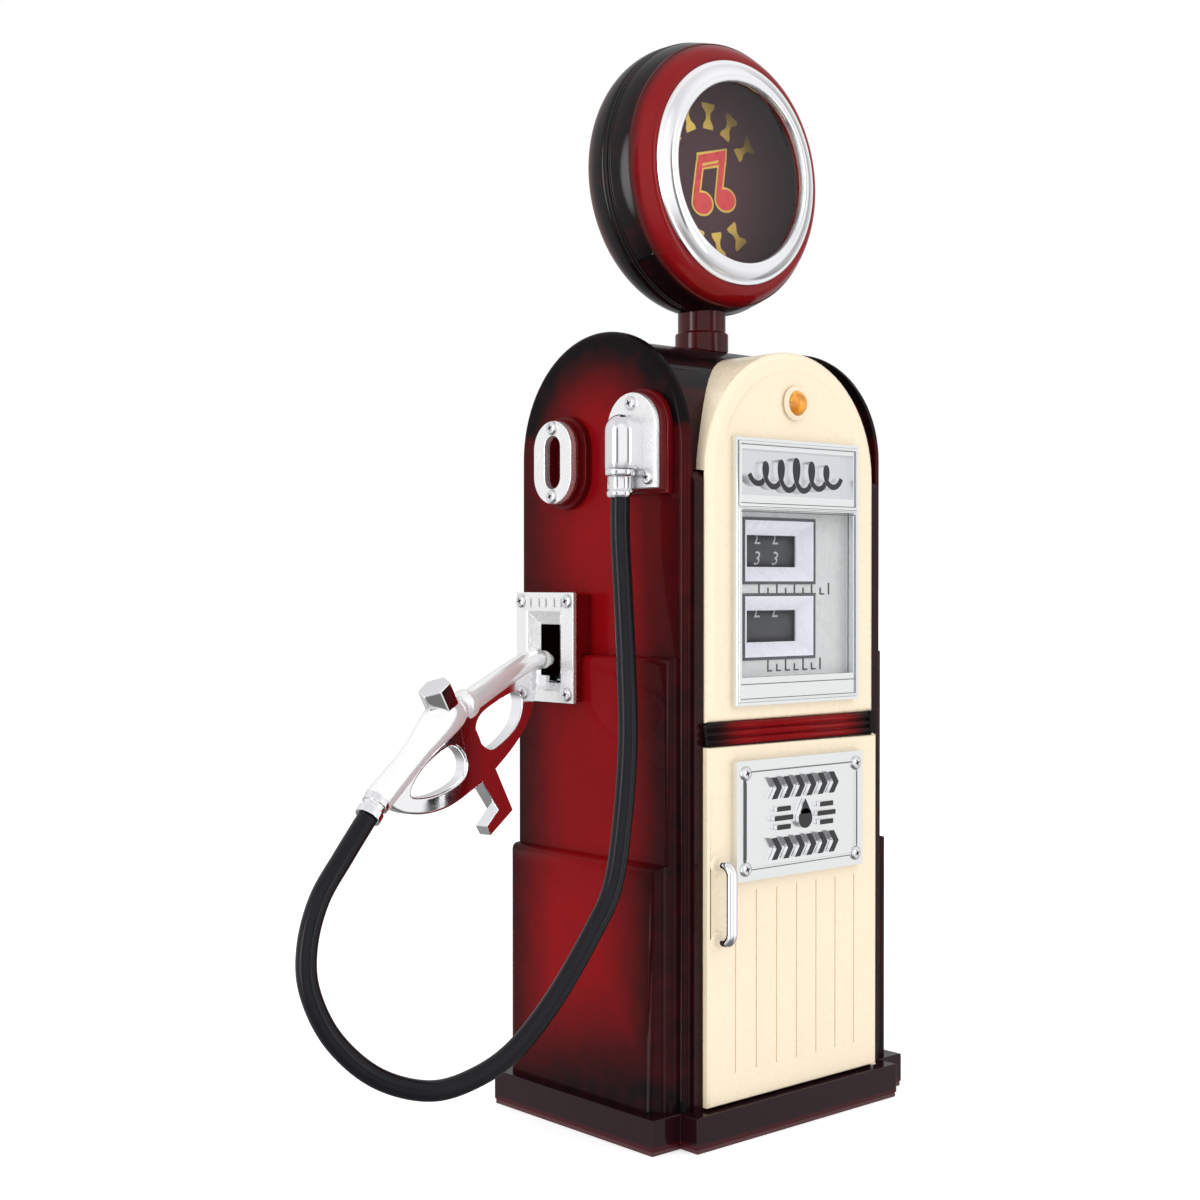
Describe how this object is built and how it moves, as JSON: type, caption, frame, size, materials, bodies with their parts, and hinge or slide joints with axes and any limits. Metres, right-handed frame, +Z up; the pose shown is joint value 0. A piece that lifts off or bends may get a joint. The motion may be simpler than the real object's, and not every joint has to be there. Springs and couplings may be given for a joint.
{
  "type": "gas pump",
  "caption": "Desk-top retro gas pump music box: arched cabinet on a stepped plinth, round globe on top, hinged front door, number drums, and a hose with a nozzle in its holder.",
  "frame": {"origin": "centre of the plinth's underside, on the surface that the pump stands on", "axes": "+Z up, -Y is the front with the door and the window, the hose and nozzle are on the -X side"},
  "size_m": [0.2287, 0.1109, 0.3675],
  "materials": {
    "candy_red": "candy red lacquer that fades to black at the edges, high gloss",
    "piano_black": "black lacquer, high gloss",
    "base_red": "dark red, satin",
    "cream": "cream enamel, gloss",
    "bright_frame": "silver-white plating, satin mirror",
    "chrome": "bright plating over a plastic casting",
    "mirror_plate": "mirror",
    "screw_steel": "bright zinc",
    "works_steel": "brushed",
    "works_brass": "satin",
    "relief_black": "black, gloss",
    "dial_white": "printed white",
    "bezel_white": "white with a dark outline",
    "drum_black": "dark grey with pale numbers",
    "clear_pane": "clear",
    "amber": "amber jewel",
    "liner_red": "dark red, matt",
    "nozzle_pearl": "pearl",
    "hose_black": "gloss black",
    "globe_face": "dark print with gold and red"
  },
  "bodies": {
    "cabinet": {"plinth": "piano_black", "base_plate": "base_red", "case_screws": "screw_steel", "left_side_panel": "candy_red", "right_side_panel": "candy_red", "cabinet_core": "candy_red", "rear_cover": "candy_red", "upper_front_panel": "cream", "belt_moulding": "candy_red", "window_frame": "bright_frame", "window_glass": "clear_pane", "header_plate": "mirror_plate", "header_relief": "relief_black", "dial_plate": "dial_white", "sale_bezel": "bezel_white", "gallons_bezel": "bezel_white", "lamp_boss": "cream", "lamp_lens": "amber", "compartment_liner": "liner_red", "door_hinge_pins": "screw_steel", "slot_boss": "candy_red", "slot_plate": "chrome", "elbow_boss": "candy_red", "elbow_plate": "chrome", "hose_elbow": "chrome", "switch_housing": "candy_red", "switch_plate": "chrome", "side_screws": "screw_steel", "hook_pin": "screw_steel", "hose": "hose_black", "neck": "candy_red", "globe_front_shell": "candy_red", "globe_rear_shell": "candy_red", "globe_ring": "chrome", "globe_lens": "clear_pane", "globe_dial": "globe_face", "drum_bracket": "works_steel", "movement_frame": "works_brass", "music_comb": "works_steel"},
    "door": {"door": "cream", "door_handle": "chrome", "sign_plate": "bright_frame", "sign_relief": "relief_black", "sign_screws": "screw_steel"},
    "hook": {"hook_lever": "chrome"},
    "nozzle": {"nozzle_body": "chrome", "nozzle_tip": "nozzle_pearl", "nozzle_cap_nut": "chrome", "nozzle_ferrule": "chrome"},
    "barrel": {"spring_barrel": "works_brass", "winding_key": "chrome"},
    "cylinder": {"music_cylinder": "works_brass"},
    "brake": {"air_brake": "works_steel"},
    "idler": {"idler_gear": "works_brass"},
    "sale_counter": {"sale_drum": "drum_black"},
    "gallons_counter": {"gallons_drum": "drum_black"}
  },
  "joints": [
    {"name": "door_swing", "type": "hinge", "parent": "cabinet", "child": "door", "pos_m": [0.0402, -0.0434, 0.07], "axis": [0, 0, 1], "range_deg": [0, 110]},
    {"name": "hook_press", "type": "hinge", "parent": "cabinet", "child": "hook", "pos_m": [-0.0513, 0.0182, 0.147], "axis": [0, 1, 0], "range_deg": [-3, 8], "stiffness_Nm_per_rad": 0.01, "springref_deg": 2.86},
    {"name": "nozzle_lift", "type": "slide", "parent": "cabinet", "child": "nozzle", "axis": [-1, 0, 0], "range_m": [0, 0.025], "deforming": ["hose"]},
    {"name": "barrel_turn", "type": "hinge", "parent": "cabinet", "child": "barrel", "pos_m": [0, 0.02, 0.17795], "axis": [0, 1, 0], "continuous": true},
    {"name": "cylinder_turn", "type": "hinge", "parent": "cabinet", "child": "cylinder", "pos_m": [0, 0.01119, 0.17795], "axis": [1, 0, 0], "continuous": true},
    {"name": "brake_turn", "type": "hinge", "parent": "cabinet", "child": "brake", "pos_m": [0, 0.01119, 0.16595], "axis": [1, 0, 0], "continuous": true},
    {"name": "idler_turn", "type": "hinge", "parent": "cabinet", "child": "idler", "pos_m": [0, -0.00931, 0.17795], "axis": [1, 0, 0], "continuous": true},
    {"name": "sale_drum_turn", "type": "hinge", "parent": "cabinet", "child": "sale_counter", "pos_m": [0, -0.0256, 0.1904], "axis": [1, 0, 0], "continuous": true},
    {"name": "gallons_drum_turn", "type": "hinge", "parent": "cabinet", "child": "gallons_counter", "pos_m": [0, -0.0256, 0.1655], "axis": [1, 0, 0], "continuous": true}
  ],
  "couplings": [
    {"joint": "cylinder_turn", "follows": "barrel_turn", "ratio": 3},
    {"joint": "brake_turn", "follows": "barrel_turn", "ratio": -12},
    {"joint": "idler_turn", "follows": "barrel_turn", "ratio": -2},
    {"joint": "sale_drum_turn", "follows": "barrel_turn", "ratio": 3},
    {"joint": "gallons_drum_turn", "follows": "barrel_turn", "ratio": 3}
  ]
}
